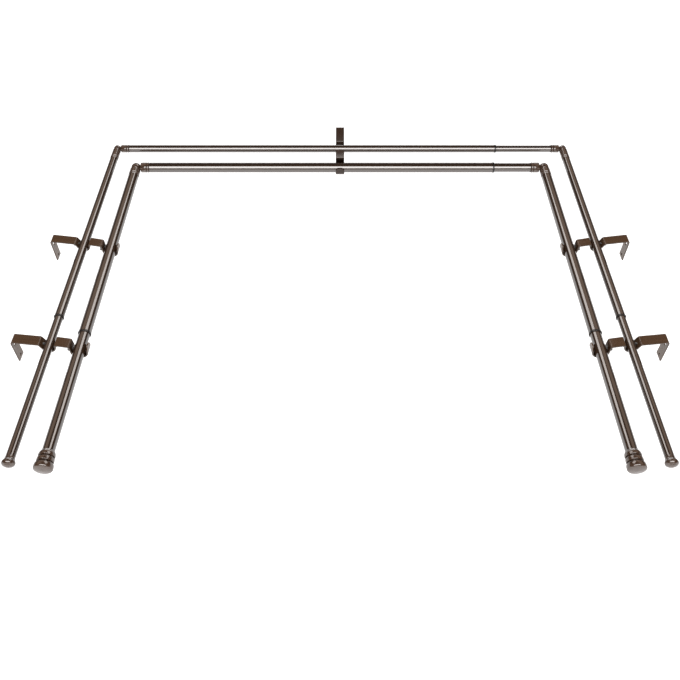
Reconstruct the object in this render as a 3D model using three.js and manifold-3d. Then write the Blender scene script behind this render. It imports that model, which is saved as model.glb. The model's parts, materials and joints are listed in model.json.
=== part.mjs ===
// Wraparound double curtain rod: two telescoping rods, a slim one near the wall and a thicker
// one in the room, each running across the window and back along both sides of it. Every corner
// is a pinned knuckle elbow, and five bent strap brackets carry both rods.
// Millimetres. +X runs along the centre rods, +Y points at the wall, +Z is up. The origin is on
// the wall face of the centre bracket, halfway up its plate.
import * as THREE from 'three';
import { mergeVertices } from 'three/addons/utils/BufferGeometryUtils.js';
import Module from 'manifold-3d';

const wasm = await Module();
wasm.setup();

// Driving dimensions
const PROJECTION = 58; // wall face to the axis of the rear rod
const SPACING = 46; // rear rod axis to front rod axis
const REAR_HEIGHT = 12; // rear rod axis above the origin
const FRONT_DROP = 13; // the front rod's axis lies this far below the rear one's
const HALF_WIDTH = 471; // middle of the window to the rear corner pins
const FAR_BRACKET = 277; // rear centre rod to the side brackets near the corners
const NEAR_BRACKET = 501; // rear centre rod to the side brackets near the end caps
const GAP = 0.3; // clearance between touching pieces
const SIDES = 20; // facets round each turned piece

// Each rod: the radii of its tubes and elbows, the reach of the two elbow halves along their
// tubes from the pin, where the outer tubes end (from the middle of the window on centre rods,
// from the corner on side rods), its end cap's length, and how far its sides reach from the
// rear centre rod to the tips of the caps.
const REAR = {
  name: 'rear',
  outer: 7.95,
  inner: 7.05,
  wall: 0.6,
  ball: 7.6,
  barrel: 8.2,
  socketReach: 26,
  knuckleReach: 35,
  centreStep: 326,
  sideStep: 446,
  capLength: 15.6,
  sideEnd: 713,
  offset: 0,
  height: REAR_HEIGHT,
};
const FRONT = {
  name: 'front',
  outer: 10.4,
  inner: 9.35,
  wall: 0.7,
  ball: 9.8,
  barrel: 10.6,
  socketReach: 29,
  knuckleReach: 28,
  centreStep: 317,
  sideStep: 424,
  capLength: 31,
  sideEnd: 713,
  offset: SPACING,
  height: REAR_HEIGHT - FRONT_DROP,
};

// Elbow, with lengths along the tube it plugs into
const ELBOW = {
  dome: 0.8, // from the ball to the tip of the socket's dome
  domeLength: 0.12, // as a part of the barrel's radius
  ring: 4.5,
  groove: 1.5,
  grooveDepth: 0.9,
  ringRise: 0.2,
  shank: 16,
  pinRadius: 1.6,
  tongueHalf: 2, // half the thickness of the tongue between the knuckle's cheeks
  flatHeight: 0.97, // height of the knuckle's flat top, as a part of the ball's radius
};
const COLLAR_LENGTH = 3;
const COLLAR_RIM = 0.6; // how far a collar stands out from the outer tube
const INNER_OVERLAP = 197; // inner side tube hidden in the outer one

// Bracket strap
const STRAP_WIDTH = 17.5;
const STRAP = 2.2; // thickness
const PLATE_TOP = 15; // top of the bracket's arm at the wall, above the rear axis
const PLATE_BOTTOM = -36;
const ARM_FALL = Math.tan(THREE.MathUtils.degToRad(9));
const BEND_REACH = 14.5; // rear axis to the bend where the first arm drops into its cradle
const SECOND_START = 5.5; // height of the second arm where it leaves the rear cradle
const SECOND_BEND = -32.5; // rear axis to the second arm's bend, towards the room
const SECOND_END = 0.5; // height of that bend
const REAR_CLEAR = 1.5;
const FRONT_CLEAR = 1.7;
const FRONT_SHIFT = 0.3; // the front cradle sits this far towards the room from its rod
const LIP_ABOVE_AXIS = 10;
const BEND_RADIUS = 2.8;
const KEYHOLE_RADIUS = 4.2;
const SCREW_HOLE_RADIUS = 2.4;
const KEYHOLE_DEPTH = 13; // below the top of the plate
const LOWER_HOLE_RISE = 7; // above the plate's bottom edge

// Set screw that locks a rod in its cradle
const SET_SCREW = { shank: 1.8, head: 4, headLength: 3.5, tipGap: GAP };

const BRONZE = { color: 0x3a2a20, roughness: 0.3, metalness: 0.85 };
const STRAP_BROWN = { color: 0x54402f, roughness: 0.42, metalness: 0.7 };
const BLACK = { color: 0x14110f, roughness: 0.5, metalness: 0.2 };

const product = new THREE.Group();

function addPiece(name, geometry, finish, parent = product) {
  const mesh = new THREE.Mesh(geometry, new THREE.MeshStandardMaterial(finish));
  mesh.name = name;
  parent.add(mesh);
  return mesh;
}

// Closed indexed solid with its faces outward, from any three.js geometry
function closed(geometry) {
  geometry.deleteAttribute('normal');
  geometry.deleteAttribute('uv');
  const merged = mergeVertices(geometry, 1e-4);
  const index = merged.index.array;
  const position = merged.attributes.position;
  const [a, b, c] = [new THREE.Vector3(), new THREE.Vector3(), new THREE.Vector3()];
  const kept = [];
  let volume = 0;
  for (let i = 0; i < index.length; i += 3) {
    const [p, q, r] = index.slice(i, i + 3);
    if (p === q || q === r || r === p) continue;
    a.fromBufferAttribute(position, p);
    b.fromBufferAttribute(position, q);
    c.fromBufferAttribute(position, r);
    volume += a.dot(b.cross(c));
    kept.push(p, q, r);
  }
  if (volume < 0) kept.reverse();
  merged.setIndex(kept);
  return merged;
}

function toManifold(geometry) {
  const solid = closed(geometry);
  const mesh = new wasm.Mesh({
    numProp: 3,
    vertProperties: new Float32Array(solid.attributes.position.array),
    triVerts: new Uint32Array(solid.index.array),
  });
  return new wasm.Manifold(mesh);
}

function fromManifold(solid) {
  const mesh = solid.getMesh();
  const geometry = new THREE.BufferGeometry();
  geometry.setAttribute('position', new THREE.BufferAttribute(mesh.vertProperties, 3));
  geometry.setIndex(new THREE.BufferAttribute(mesh.triVerts, 1));
  return geometry;
}

// Turned solid about +X. The profile is [distance along the axis, radius] pairs.
function turned(profile, sides = SIDES) {
  const points = profile.map(([along, radius]) => new THREE.Vector2(radius, along));
  return new THREE.LatheGeometry(points, sides).rotateZ(-Math.PI / 2);
}

function tube(from, to, outside, inside) {
  const corners = [[from, inside], [to, inside], [to, outside], [from, outside], [from, inside]];
  return closed(turned(corners));
}

// Quarter ellipse from the axis out to a radius, as profile points
function domeProfile(tip, length, radius, steps = 5) {
  const points = [];
  for (let i = 0; i <= steps; i += 1) {
    const angle = (i / steps) * (Math.PI / 2);
    points.push([tip + length * (1 - Math.cos(angle)), radius * Math.sin(angle)]);
  }
  return points;
}

function pinHole(radius, height) {
  return toManifold(new THREE.CylinderGeometry(radius, radius, height, 16).rotateX(Math.PI / 2));
}

// Profile of the end of an elbow half: a groove, a ring against the tube's mouth and the shank
function ringAndShank(rod, reach, bore) {
  const ring = reach - ELBOW.ring;
  const groove = ring - ELBOW.groove;
  return [
    [groove, rod.barrel],
    [groove, rod.barrel - ELBOW.grooveDepth],
    [ring, rod.barrel - ELBOW.grooveDepth],
    [ring, rod.barrel + ELBOW.ringRise],
    [reach, rod.barrel + ELBOW.ringRise],
    [reach, bore - GAP],
    [reach + ELBOW.shank, bore - GAP],
    [reach + ELBOW.shank, 0],
  ];
}

// Elbow half on the centre tube: a domed barrel with a flat tongue round the pin
function elbowSocket(rod, bore) {
  const tip = rod.ball + ELBOW.dome;
  const profile = [
    ...domeProfile(tip, rod.barrel * ELBOW.domeLength, rod.barrel),
    ...ringAndShank(rod, rod.socketReach, bore),
  ];
  const thick = 2 * ELBOW.tongueHalf;
  const radius = rod.ball * 0.7;
  const reach = tip + 4;
  const bar = new THREE.BoxGeometry(reach, 2 * radius, thick).translate(reach / 2, 0, 0);
  const eye = new THREE.CylinderGeometry(radius, radius, thick, SIDES).rotateX(Math.PI / 2);
  const tongue = toManifold(bar).add(toManifold(eye));
  const hole = pinHole(ELBOW.pinRadius + GAP, 4 * rod.ball);
  return fromManifold(toManifold(turned(profile)).add(tongue).subtract(hole));
}

// Elbow half on the side tube: a slotted ball on a ringed barrel
function elbowKnuckle(rod) {
  const neck = rod.ball * 0.6;
  const ball = domeProfile(-rod.ball, rod.ball, rod.ball, 6).slice(0, -1);
  const profile = [
    ...ball,
    [0, rod.ball],
    [neck, rod.barrel * 0.95],
    [neck + 2, rod.barrel],
    ...ringAndShank(rod, rod.knuckleReach, rod.outer - rod.wall),
  ];
  const slotFloor = rod.ball * 0.7 + 0.7;
  const slotLength = rod.ball * 2 + slotFloor;
  const slotHeight = 2 * (ELBOW.tongueHalf + GAP);
  const slot = new THREE.BoxGeometry(slotLength, 3 * rod.ball, slotHeight);
  slot.translate(slotFloor - slotLength / 2, 0, 0);
  const top = new THREE.BoxGeometry(2 * neck, 2 * rod.ball, rod.ball);
  top.translate(0, 0, rod.ball * (ELBOW.flatHeight + 0.5));
  const hole = pinHole(ELBOW.pinRadius + GAP, 4 * rod.ball);
  const cutters = [toManifold(slot), toManifold(top), hole];
  return fromManifold(cutters.reduce((solid, cut) => solid.subtract(cut), toManifold(turned(profile))));
}

// Pivot screw: a shank under a low domed head with a slot, standing on the knuckle's flat
function elbowPin(rod) {
  const seat = rod.ball * ELBOW.flatHeight + GAP;
  const profile = [
    [-rod.ball * 0.9, 0],
    [-rod.ball * 0.9, ELBOW.pinRadius],
    [seat, ELBOW.pinRadius],
    [seat, rod.ball * 0.3],
    [seat + 0.5, rod.ball * 0.28],
    [seat + 0.9, rod.ball * 0.18],
    [seat + 1, 0],
  ];
  const screw = turned(profile, 16).rotateY(-Math.PI / 2);
  const slot = new THREE.BoxGeometry(2 * rod.ball, 0.9, 2).translate(0, 0, seat + 1.6);
  return fromManifold(toManifold(screw).subtract(toManifold(slot)));
}

// Slim end cap: a short flare out to a thick domed button
function flaredCap(rod) {
  const plug = rod.inner - rod.wall - GAP;
  const button = rod.inner + 2.85;
  return closed(turned([
    [-12, 0],
    [-12, plug],
    [GAP, plug],
    [GAP, rod.inner + 0.1],
    [3, rod.inner + 0.5],
    [6, rod.inner + 1.5],
    [8, button - 0.4],
    [9.5, button],
    [11.5, button - 0.5],
    [13.5, button - 2.4],
    [15, button - 5.8],
    [rod.capLength, 0],
  ]));
}

// Thick end cap: a shoulder, two thin rings and a plain cap with a shallow dome
function ringedCap(rod) {
  const plug = rod.inner - rod.wall - GAP;
  const ring = rod.inner + 3.2;
  const groove = rod.inner + 1.6;
  const face = rod.inner + 5;
  return closed(turned([
    [-14, 0],
    [-14, plug],
    [GAP, plug],
    [GAP, rod.inner + 0.8],
    [4, ring - 0.3],
    [6, ring],
    [8.5, ring],
    [9.2, groove],
    [12, groove],
    [12.8, ring + 0.4],
    [16.2, ring + 0.4],
    [17, groove],
    [19.6, groove],
    [20.6, face - 0.5],
    [22, face],
    [27, face],
    [29, face - 2],
    [30.4, face - 6.5],
    [rod.capLength, 0],
  ]));
}

const endCap = { rear: flaredCap, front: ringedCap };

// Group whose +X runs along a tube: the centre tubes from their corner towards the middle,
// the side tubes from their corner towards the room
function runGroup(rod, side, along) {
  const group = new THREE.Group();
  const cornerX = side * (HALF_WIDTH - rod.offset);
  group.position.set(cornerX, -PROJECTION - rod.offset, rod.height);
  if (along === 'side') group.rotation.z = -Math.PI / 2;
  if (along === 'centre' && side > 0) group.rotation.z = Math.PI;
  product.add(group);
  return group;
}

function collar(rod, at) {
  return tube(at + GAP, at + GAP + COLLAR_LENGTH, rod.outer + COLLAR_RIM, rod.inner + GAP);
}

function addCentreRod(rod) {
  const half = HALF_WIDTH - rod.offset;
  const outerBore = rod.outer - rod.wall;
  const innerBore = rod.inner - rod.wall;
  const left = runGroup(rod, -1, 'centre');
  const right = runGroup(rod, 1, 'centre');
  const start = rod.socketReach + GAP;
  const step = half + rod.centreStep;
  const outerTube = tube(start, step, rod.outer, outerBore);
  const innerTube = tube(start, step, rod.inner, innerBore);
  addPiece(`${rod.name}_centre_outer_tube`, outerTube, BRONZE, left);
  addPiece(`${rod.name}_centre_collar`, collar(rod, step), BLACK, left);
  addPiece(`${rod.name}_centre_inner_tube`, innerTube, BRONZE, right);
  addPiece(`${rod.name}_left_elbow_socket`, elbowSocket(rod, outerBore), BRONZE, left);
  addPiece(`${rod.name}_right_elbow_socket`, elbowSocket(rod, innerBore), BRONZE, right);
  addPiece(`${rod.name}_left_elbow_pin`, elbowPin(rod), BRONZE, left);
  addPiece(`${rod.name}_right_elbow_pin`, elbowPin(rod), BRONZE, right);
}

function addSideRod(rod, side) {
  const label = `${rod.name}_${side < 0 ? 'left' : 'right'}`;
  const group = runGroup(rod, side, 'side');
  const tubeEnd = rod.sideEnd - rod.offset - rod.capLength;
  const start = rod.knuckleReach + GAP;
  const outerTube = tube(start, rod.sideStep, rod.outer, rod.outer - rod.wall);
  const hidden = rod.sideStep - INNER_OVERLAP;
  const innerTube = tube(hidden, tubeEnd, rod.inner, rod.inner - rod.wall);
  addPiece(`${label}_elbow_knuckle`, elbowKnuckle(rod), BRONZE, group);
  addPiece(`${label}_outer_tube`, outerTube, BRONZE, group);
  addPiece(`${label}_collar`, collar(rod, rod.sideStep), BLACK, group);
  addPiece(`${label}_inner_tube`, innerTube, BRONZE, group);
  const cap = addPiece(`${label}_end_cap`, endCap[rod.name](rod), BRONZE, group);
  cap.position.x = tubeEnd;
}

// Strap centreline in bracket coordinates: x is the distance from the rear axis towards the
// wall, y the height above it. Straights are given by their ends and each cradle is an arc.
function armHeight(x) {
  const wallHeight = PLATE_TOP - STRAP / 2;
  return wallHeight - (PROJECTION - x) * ARM_FALL;
}

function arcPoints(centreX, centreY, radius, from, to, steps) {
  const points = [];
  for (let i = 0; i <= steps; i += 1) {
    const angle = THREE.MathUtils.degToRad(from + ((to - from) * i) / steps);
    points.push([centreX + radius * Math.cos(angle), centreY + radius * Math.sin(angle)]);
  }
  return points;
}

// Rounds one corner of a polyline with an arc tangent to both straights
function roundCorner(before, corner, after, radius, steps = 4) {
  const [a, b, c] = [before, corner, after].map(([x, y]) => new THREE.Vector2(x, y));
  const inward = a.clone().sub(b).normalize();
  const outward = c.clone().sub(b).normalize();
  const half = Math.acos(THREE.MathUtils.clamp(inward.dot(outward), -1, 1)) / 2;
  const middle = inward.clone().add(outward).normalize().multiplyScalar(radius / Math.sin(half));
  const centre = b.clone().add(middle);
  const start = b.clone().addScaledVector(inward, radius / Math.tan(half)).sub(centre);
  const end = b.clone().addScaledVector(outward, radius / Math.tan(half)).sub(centre);
  const turn = Math.atan2(start.cross(end), start.dot(end));
  const points = [];
  for (let i = 0; i <= steps; i += 1) {
    const spoke = start.clone().rotateAround(new THREE.Vector2(), (turn * i) / steps);
    points.push([centre.x + spoke.x, centre.y + spoke.y]);
  }
  return points;
}

function strapCentreline() {
  const plateX = PROJECTION - STRAP / 2;
  const rearRadius = REAR.outer + REAR_CLEAR + STRAP / 2;
  const frontRadius = FRONT.outer + FRONT_CLEAR + STRAP / 2;
  const frontX = -SPACING - FRONT_SHIFT;
  const rearArc = arcPoints(0, 0, rearRadius, -15, -180, 14);
  const frontArc = arcPoints(frontX, -FRONT_DROP, frontRadius, -8, -180, 14);
  const rearRise = [-rearRadius, SECOND_START];
  const wallCorner = [plateX, armHeight(plateX)];
  const firstBend = [BEND_REACH, armHeight(BEND_REACH)];
  const secondBend = [SECOND_BEND, SECOND_END];
  const lipTop = [frontX - frontRadius - 0.8, -FRONT_DROP + LIP_ABOVE_AXIS];
  return [
    [plateX, PLATE_BOTTOM],
    ...roundCorner([plateX, PLATE_BOTTOM], wallCorner, firstBend, BEND_RADIUS),
    ...roundCorner(wallCorner, firstBend, rearArc[0], BEND_RADIUS),
    ...rearArc,
    ...roundCorner(rearArc.at(-1), rearRise, secondBend, 1.9),
    ...roundCorner(rearRise, secondBend, frontArc[0], 2.4),
    ...frontArc,
    lipTop,
  ];
}

// Outline of a strip of the given thickness along a polyline
function strip(points, thickness) {
  const sides = [1, -1].map((sign) => points.map(([x, y], i) => {
    const [px, py] = points[Math.max(i - 1, 0)];
    const [nx, ny] = points[Math.min(i + 1, points.length - 1)];
    const direction = new THREE.Vector2(nx - px, ny - py).normalize();
    const reach = (sign * thickness) / 2;
    return new THREE.Vector2(x - direction.y * reach, y + direction.x * reach);
  }));
  return new THREE.Shape([...sides[0], ...sides[1].reverse()]);
}

function crossHole(x, y, radius) {
  const drill = new THREE.CylinderGeometry(radius, radius, 16, 16);
  return toManifold(drill.rotateZ(Math.PI / 2).translate(x, y, 0));
}

// Cutter that rounds the free end of the front lip
function lipRounding() {
  const half = STRAP_WIDTH / 2;
  const top = -FRONT_DROP + LIP_ABOVE_AXIS;
  const x = -SPACING - FRONT.outer - FRONT_CLEAR - STRAP;
  const corner = new THREE.BoxGeometry(10, half + 2, 2 * half + 4);
  corner.translate(x, top - half + (half + 2) / 2, 0);
  const round = new THREE.CylinderGeometry(half, half, 12, SIDES).rotateZ(Math.PI / 2);
  round.translate(x, top - half, 0);
  return toManifold(corner).subtract(toManifold(round));
}

// Bracket in its own coordinates: x towards the wall, y up, z along the rods
function bracketStrap() {
  const shape = strip(strapCentreline(), STRAP);
  const body = new THREE.ExtrudeGeometry(shape, { depth: STRAP_WIDTH, bevelEnabled: false });
  body.translate(0, 0, -STRAP_WIDTH / 2);
  const plateX = PROJECTION - STRAP / 2;
  const keyhole = PLATE_TOP - KEYHOLE_DEPTH;
  const slot = new THREE.BoxGeometry(16, KEYHOLE_RADIUS + 3, 2 * SCREW_HOLE_RADIUS);
  slot.translate(plateX, keyhole + (KEYHOLE_RADIUS + 3) / 2, 0);
  const cutters = [
    crossHole(plateX, keyhole, KEYHOLE_RADIUS),
    toManifold(slot),
    crossHole(plateX, PLATE_BOTTOM + LOWER_HOLE_RISE, SCREW_HOLE_RADIUS),
    crossHole(REAR.outer + 7, 0, SET_SCREW.shank + GAP),
    crossHole(-SPACING + FRONT.outer + 6, -FRONT_DROP, SET_SCREW.shank + GAP),
    lipRounding(),
  ];
  const strap = cutters.reduce((solid, cutter) => solid.subtract(cutter), toManifold(body));
  return fromManifold(strap);
}

// Set screw along +x, its tip at the origin and its head towards the wall
function setScrew(headAt) {
  return closed(turned([
    [0, 0],
    [0.6, SET_SCREW.shank - 0.5],
    [0.6 + 0.5, SET_SCREW.shank],
    [headAt, SET_SCREW.shank],
    [headAt, SET_SCREW.head],
    [headAt + SET_SCREW.headLength, SET_SCREW.head],
    [headAt + SET_SCREW.headLength, 0],
  ], 16));
}

// Brackets: name, place of the rear axis in plan, and the turn that points x at the wall
const BRACKETS = [
  { name: 'centre', x: 0, y: -PROJECTION, turn: Math.PI / 2 },
  { name: 'left_far', x: -HALF_WIDTH, y: -PROJECTION - FAR_BRACKET, turn: Math.PI },
  { name: 'left_near', x: -HALF_WIDTH, y: -PROJECTION - NEAR_BRACKET, turn: Math.PI },
  { name: 'right_far', x: HALF_WIDTH, y: -PROJECTION - FAR_BRACKET, turn: 0 },
  { name: 'right_near', x: HALF_WIDTH, y: -PROJECTION - NEAR_BRACKET, turn: 0 },
];

function addBracket({ name, x, y, turn }) {
  const place = new THREE.Group();
  place.position.set(x, y, REAR_HEIGHT);
  place.rotation.z = turn;
  product.add(place);
  const upright = new THREE.Group();
  upright.rotation.x = Math.PI / 2;
  place.add(upright);
  const onInnerTubes = name.endsWith('near');
  addPiece(`${name}_bracket`, bracketStrap(), STRAP_BROWN, upright);
  for (const rod of [REAR, FRONT]) {
    const radius = onInnerTubes ? rod.inner : rod.outer;
    const tip = radius + SET_SCREW.tipGap - rod.offset;
    const headAt = (rod === REAR ? BEND_REACH + 1 : SECOND_BEND + 2.6) - tip;
    const screw = addPiece(`${name}_${rod.name}_set_screw`, setScrew(headAt), BLACK, upright);
    screw.position.set(tip, rod.height - REAR_HEIGHT, 0);
  }
}

for (const rod of [REAR, FRONT]) {
  addCentreRod(rod);
  addSideRod(rod, -1);
  addSideRod(rod, 1);
}
BRACKETS.forEach(addBracket);

export default product;
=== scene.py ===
import json
import math

import bpy
from mathutils import Matrix, Vector


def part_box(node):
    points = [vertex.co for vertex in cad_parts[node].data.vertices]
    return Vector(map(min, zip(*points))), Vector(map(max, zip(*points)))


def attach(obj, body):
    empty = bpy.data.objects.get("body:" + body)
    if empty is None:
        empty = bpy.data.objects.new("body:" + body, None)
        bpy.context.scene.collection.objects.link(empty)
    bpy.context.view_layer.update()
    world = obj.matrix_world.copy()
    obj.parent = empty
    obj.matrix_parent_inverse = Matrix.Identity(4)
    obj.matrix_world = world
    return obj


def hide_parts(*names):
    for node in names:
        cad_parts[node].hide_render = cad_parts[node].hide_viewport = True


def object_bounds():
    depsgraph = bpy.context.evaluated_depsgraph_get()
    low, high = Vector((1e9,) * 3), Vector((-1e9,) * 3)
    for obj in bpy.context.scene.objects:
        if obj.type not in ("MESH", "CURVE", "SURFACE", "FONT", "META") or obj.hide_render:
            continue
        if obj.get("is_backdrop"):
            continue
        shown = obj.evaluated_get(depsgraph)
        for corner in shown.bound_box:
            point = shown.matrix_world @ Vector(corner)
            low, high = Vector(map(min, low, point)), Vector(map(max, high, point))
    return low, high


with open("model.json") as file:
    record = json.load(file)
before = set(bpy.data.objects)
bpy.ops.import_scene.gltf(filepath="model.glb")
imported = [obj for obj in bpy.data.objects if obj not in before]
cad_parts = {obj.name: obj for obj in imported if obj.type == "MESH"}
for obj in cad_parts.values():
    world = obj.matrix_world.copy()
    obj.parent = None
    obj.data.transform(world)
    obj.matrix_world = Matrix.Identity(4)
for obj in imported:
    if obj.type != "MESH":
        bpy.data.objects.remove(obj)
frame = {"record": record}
cad_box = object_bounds()
behaviour = frame["record"]["behaviour"]
joint_place = {joint["name"]: Vector(joint["pos_m"]) for joint in behaviour["joints"] if "pos_m" in joint}
body_of = {node: body for body, nodes in behaviour["bodies"].items() for node in nodes}


# Studio. A wide sheet of lit white paper lies well below the rods. One large soft box hangs above
# the camera and others behind and beside the two arms, some flagged to light only the straps or
# one arm. The camera stands in the room and looks down.
rear_corner = joint_place["right_elbow"]
camera_data = bpy.data.cameras.new("camera")
camera = bpy.data.objects.new("camera", camera_data)
bpy.context.scene.collection.objects.link(camera)
camera_back, camera_up, camera_pitch = 1.216, 0.985, 43.3
camera.location = (0, rear_corner.y - camera_back, rear_corner.z + camera_up)
camera.rotation_euler = (math.radians(90 - camera_pitch), 0, 0)
camera_data.lens = 39.0
camera_data.sensor_width = 36
camera_data.shift_y = -0.2
bpy.context.scene.camera = camera
bpy.context.scene.view_settings.view_transform = "Standard"

rods_middle = Vector((0, -0.35, 0))
warm_white = (1.0, 0.965, 0.94)
cream = (1.0, 0.93, 0.88)
amber = (1.0, 0.75, 0.59)


def soft_box(name, direction, distance, size, radiance, colour=warm_white):
    """A rectangular soft box that far from the rods in that direction, facing them."""
    data = bpy.data.lights.new(name, "AREA")
    data.shape = "RECTANGLE"
    data.size, data.size_y = size
    data.energy = radiance * math.pi * size[0] * size[1]
    data.color = colour
    light = bpy.data.objects.new(name, data)
    bpy.context.scene.collection.objects.link(light)
    toward = Vector(direction).normalized()
    light.location = rods_middle + toward * distance
    light.rotation_euler = toward.to_track_quat("Z", "Y").to_euler()
    return light


def is_strap(node):
    """Whether the node is one of the bracket straps."""
    return node.endswith("_bracket")


key_box = soft_box("key_box", (0, -0.70, 0.714), 5.0, (5.6, 3.9), 6.6)
soft_box("wall_box", (0, 0.97, 0.22), 5.0, (6.0, 1.2), 4.0)
light_rules = [(key_box, "EXCLUDE", is_strap)]
strap_boxes = {
    "centre": (0, 0.12, 0.99),
    "left": (-0.35, -0.15, 0.92),
    "right": (0.35, -0.15, 0.92),
}
for side, direction in strap_boxes.items():
    box = soft_box(f"{side}_strap_box", direction, 5.0, (3.0, 3.0), 8.0)
    light_rules.append((box, "INCLUDE", lambda node, side=side: side in node and is_strap(node)))
for side, other, outward in (("left", "right", -1), ("right", "left", 1)):
    box = soft_box(f"{side}_back_box", (outward * 0.41, 0.56, 0.72), 7.0, (4.3, 3.2), 3.6, cream)
    light_rules.append((box, "INCLUDE", lambda node, other=other: other in node))
    box = soft_box(f"{side}_outer_box", (outward * 0.45, 0.48, 0.66), 4.0, (5.4, 2.6), 0.60, amber)
    light_rules.append((box, "INCLUDE", lambda node, side=side: side in node and not is_strap(node)))
for light, state, chosen in light_rules:
    light.light_linking.receiver_collection = bpy.data.collections.new(f"{light.name}_pieces")


def set_flags(piece, node):
    """Puts the piece in the lists of the soft boxes that light only some pieces."""
    for light, state, chosen in light_rules:
        if chosen(node):
            pieces = light.light_linking.receiver_collection
            pieces.objects.link(piece)
            pieces.collection_objects[-1].light_linking.link_state = state


white = (1, 1, 1, 1)
dim_room = (0.045, 0.043, 0.041, 1)
sky = bpy.data.worlds.new("studio_sky")
bpy.context.scene.world = sky
sky.use_nodes = True
sky_nodes, sky_links = sky.node_tree.nodes, sky.node_tree.links
ray = sky_nodes.new("ShaderNodeLightPath")
backdrop = sky_nodes.new("ShaderNodeMix")
backdrop.data_type = "RGBA"
backdrop.inputs["A"].default_value = dim_room
backdrop.inputs["B"].default_value = white
sky_links.new(ray.outputs["Is Camera Ray"], backdrop.inputs["Factor"])
sky_links.new(backdrop.outputs["Result"], sky_nodes["Background"].inputs["Color"])

floor_drop = 0.32
floor_width = 14
bpy.ops.object.select_all(action="DESELECT")
bpy.ops.mesh.primitive_plane_add(size=floor_width, location=(0, 0, cad_box[0].z - floor_drop))
floor = bpy.context.object
floor.name = "studio_floor"
paper = bpy.data.materials.new("studio_paper")
paper.use_nodes = True
paper_shader = paper.node_tree.nodes["Principled BSDF"]
paper_shader.inputs["Base Color"].default_value = (0.42, 0.42, 0.42, 1)
paper_shader.inputs["Roughness"].default_value = 0.9
paper_shader.inputs["Emission Color"].default_value = white
paper_shader.inputs["Emission Strength"].default_value = 1.02
floor.data.materials.append(paper)
floor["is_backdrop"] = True


# Rod tubes. Each rod is drawn steel tube in pairs, a slimmer tube sliding in an outer one. The
# mouths are deburred, and the dark bronze lacquer lets the faint lines of the draw show.
tube_sides = 96
tube_walls = {"rear": 0.0006, "front": 0.0007}
deburr = 0.00018


def edit_all(piece):
    """Opens the piece alone in edit mode with everything selected."""
    bpy.ops.object.select_all(action="DESELECT")
    piece.select_set(True)
    bpy.context.view_layer.objects.active = piece
    bpy.ops.object.mode_set(mode="EDIT")
    bpy.ops.mesh.select_all(action="SELECT")


def bake_place(piece):
    """Moves the piece's place and turn into its mesh."""
    bpy.ops.object.select_all(action="DESELECT")
    piece.select_set(True)
    bpy.context.view_layer.objects.active = piece
    bpy.ops.object.transform_apply(location=True, rotation=True, scale=True)


def turn_ring(name, profile, sides):
    """Ring turned about +Z: one circle pulled along a closed profile of (height, radius)."""
    height, radius = profile[0]
    bpy.ops.object.select_all(action="DESELECT")
    bpy.ops.mesh.primitive_circle_add(vertices=sides, radius=radius, location=(0, 0, height))
    piece = bpy.context.object
    piece.name = name
    bake_place(piece)
    edit_all(piece)
    for next_height, next_radius in profile[1:]:
        pull_ring((height, radius), (next_height, next_radius))
        height, radius = next_height, next_radius
    bpy.ops.object.mode_set(mode="OBJECT")
    return piece


def pull_ring(here, there):
    """Extrudes the selected ring to the next height and scales it to the next radius."""
    bpy.ops.mesh.extrude_region_move(TRANSFORM_OT_translate={"value": (0, 0, there[0] - here[0])})
    scale = there[1] / here[1]
    bpy.ops.transform.resize(value=(scale, scale, 1), center_override=(0, 0, there[0]))


def clean(piece, smooth_angle=34):
    """Merges doubles, turns faces outwards and shades the piece smooth below that angle."""
    edit_all(piece)
    bpy.ops.mesh.remove_doubles(threshold=1e-6)
    bpy.ops.mesh.normals_make_consistent(inside=False)
    bpy.ops.object.mode_set(mode="OBJECT")
    bpy.ops.object.shade_smooth_by_angle(angle=math.radians(smooth_angle))


def round_edges(piece, width, segments=2, angle=35):
    """Rounds every edge sharper than the angle."""
    rounding = piece.modifiers.new("rounding", "BEVEL")
    rounding.width = width
    rounding.segments = segments
    rounding.limit_method = "ANGLE"
    rounding.angle_limit = math.radians(angle)
    bpy.context.view_layer.objects.active = piece
    bpy.ops.object.modifier_apply(modifier=rounding.name)


def lay(piece, direction, origin):
    """Lays a piece made along +Z on a level direction, its +X turned up, from the origin."""
    forward = Vector(direction)
    upward = Vector((0, 0, 1))
    turn = Matrix((upward, forward.cross(upward), forward)).transposed().to_4x4()
    piece.matrix_world = Matrix.Translation(origin) @ turn
    bake_place(piece)


def stand_for(piece, node, material):
    """The piece takes the CAD node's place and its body."""
    piece.data.materials.clear()
    piece.data.materials.append(material)
    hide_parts(node)
    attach(piece, body_of[node])
    set_flags(piece, node)


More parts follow.
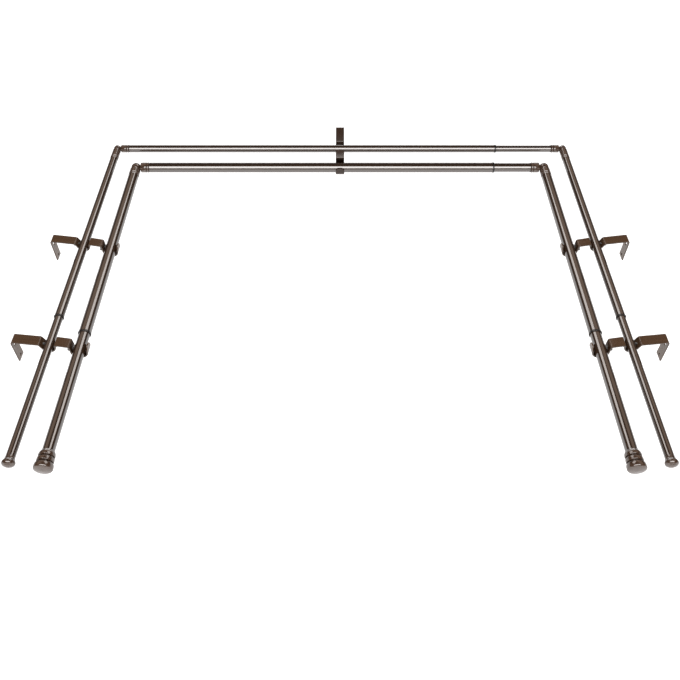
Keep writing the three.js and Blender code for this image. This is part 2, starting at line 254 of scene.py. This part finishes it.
def draw_lines_group():
    """Node group: fine lines along a stretched direction, broad mottling and a relief of both."""
    group = bpy.data.node_groups.new("draw_lines", "ShaderNodeTree")
    group.interface.new_socket("Vector", in_out="INPUT", socket_type="NodeSocketVector")
    stretch = group.interface.new_socket("Stretch", in_out="INPUT", socket_type="NodeSocketVector")
    stretch.default_value = (1, 1, 1)
    for name, value in (("Mottle Scale", 40.0), ("Mottle Share", 0.3)):
        group.interface.new_socket(name, in_out="INPUT", socket_type="NodeSocketFloat").default_value = value
    for name in ("Lines", "Mottle", "Relief"):
        group.interface.new_socket(name, in_out="OUTPUT", socket_type="NodeSocketFloat")
    nodes, links = group.nodes, group.links
    given = nodes.new("NodeGroupInput")
    result = nodes.new("NodeGroupOutput")
    stretched = nodes.new("ShaderNodeVectorMath")
    stretched.operation = "MULTIPLY"
    lines = nodes.new("ShaderNodeTexNoise")
    lines.inputs["Scale"].default_value = 1.0
    lines.inputs["Detail"].default_value = 4
    mottle = nodes.new("ShaderNodeTexNoise")
    mottle.inputs["Detail"].default_value = 5
    mottle.inputs["Roughness"].default_value = 0.62
    relief = nodes.new("ShaderNodeMix")
    links.new(given.outputs["Vector"], stretched.inputs[0])
    links.new(given.outputs["Stretch"], stretched.inputs[1])
    links.new(stretched.outputs["Vector"], lines.inputs["Vector"])
    links.new(given.outputs["Vector"], mottle.inputs["Vector"])
    links.new(given.outputs["Mottle Scale"], mottle.inputs["Scale"])
    links.new(given.outputs["Mottle Share"], relief.inputs["Factor"])
    links.new(lines.outputs["Fac"], relief.inputs["A"])
    links.new(mottle.outputs["Fac"], relief.inputs["B"])
    links.new(lines.outputs["Fac"], result.inputs["Lines"])
    links.new(mottle.outputs["Fac"], result.inputs["Mottle"])
    links.new(relief.outputs["Result"], result.inputs["Relief"])
    return group


draw_lines = draw_lines_group()


def coated_steel(name, dark, light, stretch, mottle_scale, mottle_share, gloss, relief_height, ior):
    """Steel under lacquer or powder: two close browns, satin gloss and a slight relief."""
    material = bpy.data.materials.new(name)
    material.use_nodes = True
    nodes, links = material.node_tree.nodes, material.node_tree.links
    shader = nodes["Principled BSDF"]
    shader.inputs["IOR"].default_value = ior
    place = nodes.new("ShaderNodeTexCoord")
    pattern = nodes.new("ShaderNodeGroup")
    pattern.node_tree = draw_lines
    pattern.inputs["Stretch"].default_value = stretch
    pattern.inputs["Mottle Scale"].default_value = mottle_scale
    pattern.inputs["Mottle Share"].default_value = mottle_share
    links.new(place.outputs["Object"], pattern.inputs["Vector"])
    browns = nodes.new("ShaderNodeValToRGB")
    browns.color_ramp.elements[0].position = 0.36
    browns.color_ramp.elements[0].color = (*dark, 1)
    browns.color_ramp.elements[1].position = 0.64
    browns.color_ramp.elements[1].color = (*light, 1)
    links.new(pattern.outputs["Relief"], browns.inputs["Fac"])
    links.new(browns.outputs["Color"], shader.inputs["Base Color"])
    satin = nodes.new("ShaderNodeMapRange")
    satin.inputs["From Min"].default_value = 0.3
    satin.inputs["From Max"].default_value = 0.7
    satin.inputs["To Min"].default_value = gloss[0]
    satin.inputs["To Max"].default_value = gloss[1]
    links.new(pattern.outputs["Mottle"], satin.inputs["Value"])
    links.new(satin.outputs["Result"], shader.inputs["Roughness"])
    bump = nodes.new("ShaderNodeBump")
    bump.inputs["Distance"].default_value = relief_height
    links.new(pattern.outputs["Relief"], bump.inputs["Height"])
    links.new(bump.outputs["Normal"], shader.inputs["Normal"])
    return material


rod_dark = (0.021, 0.0115, 0.0070)
rod_light = (0.034, 0.0195, 0.0125)
rod_gloss = (0.088, 0.106)
rod_relief = 0.0000012
lacquer_ior = 2.1
lines_along_x = (4, 900, 900)
lines_along_y = (900, 4, 900)
centre_lacquer = coated_steel("centre_rod_lacquer", rod_dark, rod_light, lines_along_x, 30, 0.35,
                              rod_gloss, rod_relief, lacquer_ior)
side_lacquer = coated_steel("side_rod_lacquer", rod_dark, rod_light, lines_along_y, 30, 0.35,
                            rod_gloss, rod_relief, lacquer_ior)

for rod, wall in tube_walls.items():
    for run in ("centre", "left", "right"):
        for which in ("outer", "inner"):
            node = f"{rod}_{run}_{which}_tube"
            low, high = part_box(node)
            along = Vector((1, 0, 0)) if run == "centre" else Vector((0, 1, 0))
            radius = (high.z - low.z) / 2
            bore = radius - wall
            length = (high - low).dot(along)
            profile = [(0, bore), (length, bore), (length, radius), (0, radius), (0, bore)]
            tube = turn_ring(f"{node}_drawn", profile, tube_sides)
            clean(tube)
            round_edges(tube, deburr)
            lay(tube, along, (low + high) / 2 - along * length / 2)
            clean(tube)
            stand_for(tube, node, centre_lacquer if run == "centre" else side_lacquer)


# Collars. A moulded black ring is pressed on the mouth of each outer tube and guides the slimmer
# tube. Its outside is slightly crowned and its edges are rounded.
collar_sides = 96
collar_crown = 0.00015
collar_edge = 0.00035
collar_wall_to_tube = 0.0003


def moulded_plastic(name, colour, pale, roughness, grain_scale, grain_height):
    """Moulded plastic: a fine grain from the mould and slow changes of colour and gloss."""
    material = bpy.data.materials.new(name)
    material.use_nodes = True
    nodes, links = material.node_tree.nodes, material.node_tree.links
    shader = nodes["Principled BSDF"]
    place = nodes.new("ShaderNodeTexCoord")
    pattern = nodes.new("ShaderNodeGroup")
    pattern.node_tree = draw_lines
    pattern.inputs["Stretch"].default_value = (grain_scale, grain_scale, grain_scale)
    pattern.inputs["Mottle Scale"].default_value = grain_scale / 20
    links.new(place.outputs["Object"], pattern.inputs["Vector"])
    tones = nodes.new("ShaderNodeValToRGB")
    tones.color_ramp.elements[0].position = 0.35
    tones.color_ramp.elements[0].color = (*colour, 1)
    tones.color_ramp.elements[1].position = 0.75
    tones.color_ramp.elements[1].color = (*pale, 1)
    links.new(pattern.outputs["Mottle"], tones.inputs["Fac"])
    links.new(tones.outputs["Color"], shader.inputs["Base Color"])
    satin = nodes.new("ShaderNodeMapRange")
    satin.inputs["To Min"].default_value = roughness * 0.8
    satin.inputs["To Max"].default_value = roughness * 1.2
    links.new(pattern.outputs["Mottle"], satin.inputs["Value"])
    links.new(satin.outputs["Result"], shader.inputs["Roughness"])
    bump = nodes.new("ShaderNodeBump")
    bump.inputs["Distance"].default_value = grain_height
    links.new(pattern.outputs["Lines"], bump.inputs["Height"])
    links.new(bump.outputs["Normal"], shader.inputs["Normal"])
    return material


collar_plastic = moulded_plastic("collar_plastic", (0.006, 0.005, 0.005), (0.014, 0.012, 0.011),
                                 0.32, 2500, 0.00001)

for rod in tube_walls:
    for run in ("centre", "left", "right"):
        node = f"{rod}_{run}_collar"
        low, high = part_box(node)
        inner_low, inner_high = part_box(f"{rod}_{run}_inner_tube")
        along = Vector((1, 0, 0)) if run == "centre" else Vector((0, 1, 0))
        radius = (high.z - low.z) / 2
        bore = (inner_high.z - inner_low.z) / 2 + collar_wall_to_tube
        length = (high - low).dot(along)
        profile = [(0, bore), (length, bore), (length, radius - collar_crown), (length / 2, radius),
                   (0, radius - collar_crown), (0, bore)]
        ring = turn_ring(f"{node}_ring", profile, collar_sides)
        clean(ring)
        round_edges(ring, collar_edge, segments=3)
        lay(ring, along, (low + high) / 2 - along * length / 2)
        clean(ring)
        stand_for(ring, node, collar_plastic)


# End caps. Cast and turned plugs pushed into the slimmer tubes: the slim rod ends in a flared
# button, the thick one in a shoulder, two thin rings and a plain cap, both with a domed face.
cap_sides = 96
cap_turn_line = 0.00035


def turn_solid(name, profile, sides):
    """Solid turned about +Z from (height, radius) steps, closed by a pole at either end."""
    height, radius = profile[0]
    bpy.ops.object.select_all(action="DESELECT")
    bpy.ops.mesh.primitive_circle_add(vertices=sides, radius=radius, fill_type="TRIFAN",
                                      location=(0, 0, height))
    piece = bpy.context.object
    piece.name = name
    bake_place(piece)
    edit_all(piece)
    bpy.ops.mesh.select_all(action="DESELECT")
    bpy.ops.object.mode_set(mode="OBJECT")
    for vertex in piece.data.vertices:
        vertex.select = vertex.co.xy.length > radius / 2
    for edge in piece.data.edges:
        edge.select = all(piece.data.vertices[v].select for v in edge.vertices)
    bpy.ops.object.mode_set(mode="EDIT")
    for next_height, next_radius in profile[1:]:
        pull_ring((height, radius), (next_height, next_radius))
        height, radius = next_height, next_radius
    bpy.ops.mesh.extrude_region_move()
    bpy.ops.mesh.merge(type="CENTER")
    bpy.ops.object.mode_set(mode="OBJECT")
    return piece


def button_profile(tube_radius, wall, length):
    """Flared button: plug, trumpet flare and a domed face with two turned lines."""
    plug = tube_radius - wall - 0.0003
    button = tube_radius + 0.00285
    face = 0.62 * button
    line = 0.00022
    return [(-0.012, plug - 0.0004), (-0.0116, plug), (0.0003, plug), (0.0003, tube_radius + 0.0001),
            (0.0016, tube_radius + 0.0002), (0.0030, tube_radius + 0.0005), (0.0045, tube_radius + 0.0009),
            (0.0060, tube_radius + 0.0015), (0.0071, tube_radius + 0.0021), (0.0080, button - 0.00035),
            (0.0088, button - 0.00008), (0.0096, button), (0.0106, button - 0.00015),
            (0.0115, button - 0.0005), (0.0123, button - 0.0011), (0.0130, button - 0.0019),
            (0.0136, button - 0.0028), (0.0139, face + 0.0003), (0.0139 - line, face),
            (0.0141, face - 0.0003), (0.0147, face * 0.72), (0.0150, face * 0.5),
            (0.0150 - line, face * 0.45), (0.0152, face * 0.4), (length - 0.0001, face * 0.15)]


def ringed_profile(tube_radius, wall, length):
    """Plain cap behind two thin rings and a shoulder, with a shallow domed face."""
    plug = tube_radius - wall - 0.0003
    ring = tube_radius + 0.0032
    groove = tube_radius + 0.0003
    face = tube_radius + 0.0050
    return [(-0.014, plug - 0.0004), (-0.0136, plug), (0.0003, plug), (0.0003, tube_radius + 0.0008),
            (0.0018, tube_radius + 0.0014), (0.0034, ring - 0.0008), (0.0048, ring - 0.0003),
            (0.0062, ring), (0.0086, ring), (0.0091, ring - 0.0004), (0.0094, groove),
            (0.0116, groove), (0.0119, ring - 0.0001), (0.0124, ring + 0.0003),
            (0.0147, ring + 0.0004), (0.0168, ring + 0.0003), (0.0173, ring - 0.0001),
            (0.0176, groove), (0.0198, groove), (0.0203, face - 0.0014), (0.0210, face - 0.0004),
            (0.0226, face), (0.0266, face), (0.0276, face - 0.0003), (0.0285, face - 0.0011),
            (0.0291, face - 0.0022), (0.0297, face - 0.0042), (0.0302, face - 0.0070),
            (0.0306, face - 0.0104), (length, face - 0.0130)]


cast_dark = (0.032, 0.0175, 0.0110)
cast_light = (0.058, 0.0335, 0.0220)
cast_lacquer = coated_steel("cast_fitting_lacquer", cast_dark, cast_light, (900, 900, 900), 120, 0.6,
                            (0.12, 0.18), 0.0000015, 1.8)
cap_profiles = {"rear": button_profile, "front": ringed_profile}

for rod, wall in tube_walls.items():
    for side in ("left", "right"):
        node = f"{rod}_{side}_end_cap"
        low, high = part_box(node)
        tube_low, tube_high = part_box(f"{rod}_{side}_inner_tube")
        tube_radius = (tube_high.z - tube_low.z) / 2
        mouth = Vector(((low.x + high.x) / 2, tube_low.y, (low.z + high.z) / 2))
        profile = cap_profiles[rod](tube_radius, wall, tube_low.y - low.y)
        cap = turn_solid(f"{node}_turned", profile, cap_sides)
        clean(cap)
        round_edges(cap, cap_turn_line / 2)
        lay(cap, (0, -1, 0), mouth)
        clean(cap)
        stand_for(cap, node, cast_lacquer)


# Elbows. Each corner is two die-cast halves on a pivot screw: a socket with a flat tongue plugs
# into the centre tube, and a slotted ball on a barrel into the side tube. Both have a ring between
# two V grooves where they meet their tube.
elbow_sides = 96
ball_radii = {"rear": 0.0076, "front": 0.0098}
barrel_radii = {"rear": 0.0082, "front": 0.0106}
elbow_ring = 0.0045
elbow_groove = 0.0021
groove_depth = 0.0014
ring_rise = 0.0002
ring_width = 0.0024
shank_length = 0.016
shank_gap = 0.0003
dome_gap = 0.0008
tongue_half = 0.002
pin_radius = 0.0016
pin_gap = 0.0003
flat_height = 0.97
socket_dome = 0.12
tongue_share = 0.7
waist_height = 0.82
waist_share = 0.62
cast_edge = 0.00025


def ringed_shank(barrel, reach, bore):
    """End of an elbow half: groove, ring against the tube's mouth, and the plug in the tube."""
    ring = reach - elbow_ring
    groove = ring - elbow_groove
    neck = ring + ring_width
    low = barrel - groove_depth
    plug = bore - shank_gap
    return [(groove, barrel), ((groove + ring) / 2, low), (ring, barrel),
            ((ring + neck) / 2, barrel + ring_rise), (neck, barrel), ((neck + reach) / 2, low),
            (reach, barrel - ring_rise), (reach, plug),
            (reach + shank_length - 0.0005, plug), (reach + shank_length, plug - 0.0005)]


def quarter_dome(tip, length, radius, steps):
    """Profile from near the axis out to the radius along a quarter ellipse."""
    angles = [math.pi / 2 * i / steps for i in range(1, steps + 1)]
    return [(tip + length * (1 - math.cos(a)), radius * math.sin(a)) for a in angles]


def cylinder(name, radius, length, axis, centre, sides=48):
    """Plain round bar along one of the three axes, used to cut or join."""
    turns = {"x": (0, math.pi / 2, 0), "y": (math.pi / 2, 0, 0), "z": (0, 0, 0)}
    bpy.ops.object.select_all(action="DESELECT")
    bpy.ops.mesh.primitive_cylinder_add(vertices=sides, radius=radius, depth=length, location=centre,
                                        rotation=turns[axis])
    bar = bpy.context.object
    bar.name = name
    bake_place(bar)
    return bar


def block(name, size, centre):
    """Plain rectangular block, used to cut or join."""
    bpy.ops.object.select_all(action="DESELECT")
    bpy.ops.mesh.primitive_cube_add(size=1, location=centre)
    made = bpy.context.object
    made.name = name
    made.scale = size
    bake_place(made)
    return made


def combine(piece, tool, operation):
    """Cuts the tool out of the piece or joins it on, and removes the tool."""
    step = piece.modifiers.new("step", "BOOLEAN")
    step.operation = operation
    step.solver = "EXACT"
    step.object = tool
    bpy.context.view_layer.objects.active = piece
    bpy.ops.object.modifier_apply(modifier=step.name)
    bpy.data.objects.remove(tool)


def elbow_socket(name, rod, reach, bore):
    """Domed barrel with a tongue, its tube along +Z and its pin along X."""
    ball, barrel = ball_radii[rod], barrel_radii[rod]
    tip = ball + dome_gap
    profile = quarter_dome(tip, barrel * socket_dome, barrel, 10) + ringed_shank(barrel, reach, bore)
    socket = turn_solid(name, profile, elbow_sides)
    clean(socket)
    tongue_radius = ball * tongue_share
    bar_length = tip + 0.004
    combine(socket, block("bar", (2 * tongue_half, 2 * tongue_radius, bar_length), (0, 0, bar_length / 2)),
            "UNION")
    combine(socket, cylinder("eye", tongue_radius, 2 * tongue_half, "x", (0, 0, 0)), "UNION")
    combine(socket, cylinder("hole", pin_radius + pin_gap, 4 * ball, "x", (0, 0, 0)), "DIFFERENCE")
    clean(socket)
    round_edges(socket, cast_edge)
    return socket


def elbow_knuckle(name, rod, reach, bore):
    """Slotted ball, a waist and a ringed barrel, its tube along +Z and its pin along X."""
    ball, barrel = ball_radii[rod], barrel_radii[rod]
    neck = ball * waist_height
    dome = quarter_dome(-ball, ball, ball, 16)
    past = [math.radians(angle) for angle in (8, 16, 24, 32, 40, 47, 53)]
    under = [(ball * math.sin(a), ball * math.cos(a)) for a in past]
    shoulder = [(neck, ball * waist_share), (neck + 0.0008, barrel * 0.86), (neck + 0.0018, barrel)]
    profile = dome + under + shoulder + ringed_shank(barrel, reach, bore)
    knuckle = turn_solid(name, profile, elbow_sides)
    clean(knuckle)
    slot_floor = ball * tongue_share + 0.0007
    slot_length = 2 * ball + slot_floor
    slot_size = (2 * (tongue_half + pin_gap), 3 * ball, slot_length)
    combine(knuckle, block("slot", slot_size, (0, 0, slot_floor - slot_length / 2)), "DIFFERENCE")
    top_centre = (ball * (flat_height + 0.5), 0, 0)
    combine(knuckle, block("top", (ball, 2 * ball, 2 * neck), top_centre), "DIFFERENCE")
    combine(knuckle, cylinder("hole", pin_radius + pin_gap, 4 * ball, "x", (0, 0, 0)), "DIFFERENCE")
    clean(knuckle)
    round_edges(knuckle, cast_edge)
    return knuckle


def pivot_screw(name, rod):
    """Slotted screw along +Z with a low domed head standing on the knuckle's flat."""
    ball = ball_radii[rod]
    seat = ball * flat_height + pin_gap
    head = ball * 0.3
    foot = -ball * 0.9
    profile = [(foot, pin_radius - 0.0003), (foot + 0.0003, pin_radius), (seat, pin_radius), (seat, head),
               (seat + 0.0003, head), (seat + 0.0005, head * 0.94),
               (seat + 0.0007, head * 0.78), (seat + 0.0009, head * 0.5), (seat + 0.0010, head * 0.2)]
    screw = turn_solid(name, profile, 64)
    clean(screw)
    combine(screw, block("driver_slot", (2 * ball, 0.0007, 0.002), (0, 0, seat + 0.0014)), "DIFFERENCE")
    clean(screw)
    round_edges(screw, 0.00008)
    return screw


for rod, wall in tube_walls.items():
    for side in ("left", "right"):
        pin_place = joint_place[f"{side}_elbow" if rod == "rear" else f"front_{side}_elbow"]
        inward = Vector((1, 0, 0)) if side == "left" else Vector((-1, 0, 0))
        run_ends = {
            "socket": (inward, f"{rod}_centre_{'outer' if side == 'left' else 'inner'}_tube", elbow_socket),
            "knuckle": (Vector((0, -1, 0)), f"{rod}_{side}_outer_tube", elbow_knuckle),
        }
        for half, (along, tube_node, make) in run_ends.items():
            node = f"{rod}_{side}_elbow_{half}"
            tube_low, tube_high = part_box(tube_node)
            bore = (tube_high.z - tube_low.z) / 2 - wall
            near_end = min((tube_low - pin_place).dot(along), (tube_high - pin_place).dot(along))
            piece = make(f"{node}_cast", rod, near_end - shank_gap, bore)
            lay(piece, along, pin_place)
            clean(piece)
            stand_for(piece, node, cast_lacquer)
        screw = pivot_screw(f"{rod}_{side}_pivot_screw", rod)
        screw.matrix_world = Matrix.Translation(pin_place)
        bake_place(screw)
        clean(screw)
        stand_for(screw, f"{rod}_{side}_elbow_pin", cast_lacquer)


# Brackets. One strip of steel is punched with a keyhole and a screw hole, bent round formers
# into a wall plate and two cradles, and powder coated. Its free end is cut round.
strap_width = 0.0175
strap_gauge = 0.0022
arm_fall = math.tan(math.radians(9))
first_bend_x = 0.0145
second_start_height = 0.0055
second_bend = Vector((-0.0325, 0.0005))
plate_rise = 0.015
plate_drop = 0.036
outside_radii = {"rear": 0.00795, "front": 0.0104}
cradle_clear = {"rear": 0.0015, "front": 0.0017}
cradle_start = {"rear": -15, "front": -8}
front_shift = 0.0003
lip_rise = 0.010
lip_lean = 0.0008
wide_bend, rise_bend, drop_bend = 0.0028, 0.0019, 0.0024
keyhole_radius = 0.0042
screw_hole_radius = 0.0024
keyhole_drop = 0.013
lower_hole_rise = 0.007
set_screw_radius = 0.0018
strap_edge = 0.0003

rear_axis = joint_place["centre_rear_screw_turn"]
front_axis = joint_place["centre_front_screw_turn"]
rod_spacing = rear_axis.y - front_axis.y
front_drop = rear_axis.z - front_axis.z
projection = -rear_axis.y


def arc(centre, radius, start, end, steps):
    """Points of an arc between two angles in degrees."""
    angles = [math.radians(start + (end - start) * i / steps) for i in range(steps + 1)]
    return [centre + radius * Vector((math.cos(a), math.sin(a))) for a in angles]


def rounded_corner(before, corner, after, radius, steps=6):
    """Points of the arc that rounds the corner between two straights."""
    inward = (before - corner).normalized()
    outward = (after - corner).normalized()
    half = inward.angle(outward) / 2
    centre = corner + (inward + outward).normalized() * radius / math.sin(half)
    first = corner + inward * radius / math.tan(half) - centre
    last = corner + outward * radius / math.tan(half) - centre
    start = math.atan2(first.y, first.x)
    sweep = (math.atan2(last.y, last.x) - start + math.pi) % (2 * math.pi) - math.pi
    return arc(centre, radius, math.degrees(start), math.degrees(start + sweep), steps)


def strap_line():
    """Middle line of the strap, x towards the wall and y up from the rear rod's axis."""
    plate_x = projection - strap_gauge / 2
    top = plate_rise - strap_gauge / 2
    foot = Vector((plate_x, -plate_drop))
    wall_corner = Vector((plate_x, top - strap_gauge / 2 * arm_fall))
    first_bend = Vector((first_bend_x, top - (projection - first_bend_x) * arm_fall))
    rear_radius = outside_radii["rear"] + cradle_clear["rear"] + strap_gauge / 2
    front_radius = outside_radii["front"] + cradle_clear["front"] + strap_gauge / 2
    front_centre = Vector((-rod_spacing - front_shift, -front_drop))
    rear_cradle = arc(Vector((0, 0)), rear_radius, cradle_start["rear"], -180, 30)
    front_cradle = arc(front_centre, front_radius, cradle_start["front"], -180, 34)
    rise = Vector((-rear_radius, second_start_height))
    lip_top = Vector((front_centre.x - front_radius - lip_lean, lip_rise - front_drop))
    line = [foot]
    line += rounded_corner(foot, wall_corner, first_bend, wide_bend)
    line += rounded_corner(wall_corner, first_bend, rear_cradle[0], wide_bend)
    line += rear_cradle
    line += rounded_corner(rear_cradle[-1], rise, second_bend, rise_bend)
    line += rounded_corner(rise, second_bend, front_cradle[0], drop_bend)
    line += front_cradle
    line.append(lip_top)
    return line


def bent_strap(name):
    """The strap with X towards the wall, Y along the rods and Z up, round the rear rod's axis."""
    line = strap_line()
    bpy.ops.object.select_all(action="DESELECT")
    bpy.ops.mesh.primitive_plane_add(size=strap_width)
    strap = bpy.context.object
    strap.name = name
    edit_all(strap)
    bpy.ops.mesh.select_all(action="DESELECT")
    bpy.ops.object.mode_set(mode="OBJECT")
    for vertex in strap.data.vertices:
        vertex.select = vertex.co.x > 0
    bpy.ops.object.mode_set(mode="EDIT")
    bpy.ops.mesh.delete(type="VERT")
    bpy.ops.mesh.select_all(action="SELECT")
    bpy.ops.transform.translate(value=(line[0].x + strap_width / 2, 0, line[0].y))
    for here, there in zip(line, line[1:]):
        step = (there.x - here.x, 0, there.y - here.y)
        bpy.ops.mesh.extrude_region_move(TRANSFORM_OT_translate={"value": step})
    bpy.ops.mesh.bevel(affect="VERTICES", offset=strap_width * 0.49, segments=12)
    bpy.ops.object.mode_set(mode="OBJECT")
    clean(strap)
    gauge = strap.modifiers.new("gauge", "SOLIDIFY")
    gauge.thickness = strap_gauge
    gauge.offset = 0
    gauge.use_even_offset = True
    bpy.context.view_layer.objects.active = strap
    bpy.ops.object.modifier_apply(modifier=gauge.name)
    clean(strap)
    plate_x = projection - strap_gauge / 2
    keyhole = plate_rise - keyhole_drop
    neck_height = keyhole_radius + 0.003
    through = 0.008
    combine(strap, cylinder("keyhole", keyhole_radius, through, "x", (plate_x, 0, keyhole)), "DIFFERENCE")
    combine(strap, block("neck", (through, 2 * screw_hole_radius, neck_height),
                         (plate_x, 0, keyhole + neck_height / 2)), "DIFFERENCE")
    combine(strap, cylinder("neck_end", screw_hole_radius, through, "x",
                            (plate_x, 0, keyhole + neck_height)), "DIFFERENCE")
    combine(strap, cylinder("lower_hole", screw_hole_radius, through, "x",
                            (plate_x, 0, lower_hole_rise - plate_drop)), "DIFFERENCE")
    tapped = set_screw_radius + 0.0003
    combine(strap, cylinder("rear_tapping", tapped, through, "x",
                            (outside_radii["rear"] + 0.005, 0, 0)), "DIFFERENCE")
    combine(strap, cylinder("front_tapping", tapped, through, "x",
                            (-rod_spacing + outside_radii["front"] + 0.005, 0, -front_drop)), "DIFFERENCE")
    clean(strap)
    round_edges(strap, strap_edge, angle=40)
    return strap


def toward_wall(bracket):
    """Direction in which the bracket's arm points at its wall."""
    axes = {joint["name"]: joint["axis"] for joint in behaviour["joints"]}
    return -Vector(axes[f"{bracket}_rear_screw_turn"])


def copied(master, name):
    """A copy of a finished piece with a mesh of its own."""
    twin = master.copy()
    twin.data = master.data.copy()
    twin.name = name
    bpy.context.scene.collection.objects.link(twin)
    return twin


powder_gloss = (0.24, 0.31)
powder_relief = 0.000012
powder_ior = 1.42
# All five brackets are one strap with one brown powder coat. The centre bracket's browns are made darker as
# painted shade, and the side brackets' browns lighter as painted light.
shaded_centre_powder = coated_steel("centre_bracket_powder_painted_shade", (0.030, 0.0140, 0.0070), (0.046, 0.0225, 0.0115),
                             (800, 12, 12), 900, 0.45, powder_gloss, powder_relief, powder_ior)
lit_side_powder = coated_steel("side_bracket_powder_painted_light", (0.062, 0.0330, 0.0170), (0.094, 0.0510, 0.0270),
                           (12, 800, 12), 900, 0.45, powder_gloss, powder_relief, powder_ior)
brackets = ("centre", "left_far", "left_near", "right_far", "right_near")

strap_master = bent_strap("strap_master")
for bracket in brackets:
    wall = toward_wall(bracket)
    upward = Vector((0, 0, 1))
    strap = copied(strap_master, f"{bracket}_bent_strap")
    turn = Matrix((wall, upward.cross(wall), upward)).transposed().to_4x4()
    strap.matrix_world = Matrix.Translation(joint_place[f"{bracket}_rear_screw_turn"]) @ turn
    bake_place(strap)
    clean(strap)
    # The centre bracket takes the copy with painted shade; the side brackets take the copy with painted
    # light.
    powder = shaded_centre_powder if bracket == "centre" else lit_side_powder
    stand_for(strap, f"{bracket}_bracket", powder)
bpy.data.objects.remove(strap_master)


# Set screws. Two blackened thumb screws in each bracket press the rods into their cradles. The
# shank is threaded, and the round head is grooved on its edge and slotted.
head_radius = 0.004
head_length = 0.0035
head_edge = 0.0003
thread_pitch = 0.0007
thread_depth = 0.00022
grip_sides = 72
grip_depth = 0.00018


def set_screw(name, length):
    """Thumb screw from its tip at the origin to its head along +Z."""
    neck = length - head_length
    profile = [(0, set_screw_radius - 0.0007), (0.0006, set_screw_radius - thread_depth)]
    height = 0.0006
    while height + thread_pitch < neck - 0.0002:
        profile.append((height + thread_pitch / 2, set_screw_radius))
        profile.append((height + thread_pitch, set_screw_radius - thread_depth))
        height += thread_pitch
    profile += [(neck, set_screw_radius - thread_depth), (neck, head_radius - head_edge),
                (neck + head_edge, head_radius), (length - head_edge, head_radius),
                (length, head_radius - head_edge)]
    screw = turn_solid(name, profile, grip_sides)
    clean(screw)
    combine(screw, block("driver_slot", (2.2 * head_radius, 0.0010, 0.0016), (0, 0, length)), "DIFFERENCE")
    clean(screw)
    edit_all(screw)
    bpy.ops.mesh.select_all(action="DESELECT")
    bpy.ops.mesh.select_mode(type="FACE")
    bpy.ops.object.mode_set(mode="OBJECT")
    step = 2 * math.pi / grip_sides
    for face in screw.data.polygons:
        on_rim = face.center.xy.length > head_radius * 0.97 and neck + head_edge < face.center.z
        turned = round(math.atan2(face.center.y, face.center.x) / step - 0.5)
        face.select = on_rim and turned % 3 == 0 and abs(face.normal.z) < 0.1
    bpy.ops.object.mode_set(mode="EDIT")
    bpy.ops.mesh.extrude_faces_move(TRANSFORM_OT_shrink_fatten={"value": -grip_depth})
    bpy.ops.mesh.select_mode(type="VERT")
    bpy.ops.object.mode_set(mode="OBJECT")
    return screw


oxide_dark = (0.008, 0.0070, 0.0065)
oxide_light = (0.020, 0.0170, 0.0150)
black_oxide = coated_steel("screw_black_oxide", oxide_dark, oxide_light, (600, 600, 600), 300, 0.5,
                           (0.28, 0.42), 0.00001, 2.0)

for bracket in brackets:
    wall = toward_wall(bracket)
    for rod in tube_walls:
        node = f"{bracket}_{rod}_set_screw"
        low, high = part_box(node)
        axis_place = joint_place[f"{bracket}_{rod}_screw_turn"]
        length = abs((high - low).dot(wall))
        tip = axis_place + wall * min((low - axis_place).dot(wall), (high - axis_place).dot(wall))
        screw = set_screw(f"{node}_threaded", length)
        lay(screw, wall, tip)
        clean(screw)
        stand_for(screw, node, black_oxide)

low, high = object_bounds()
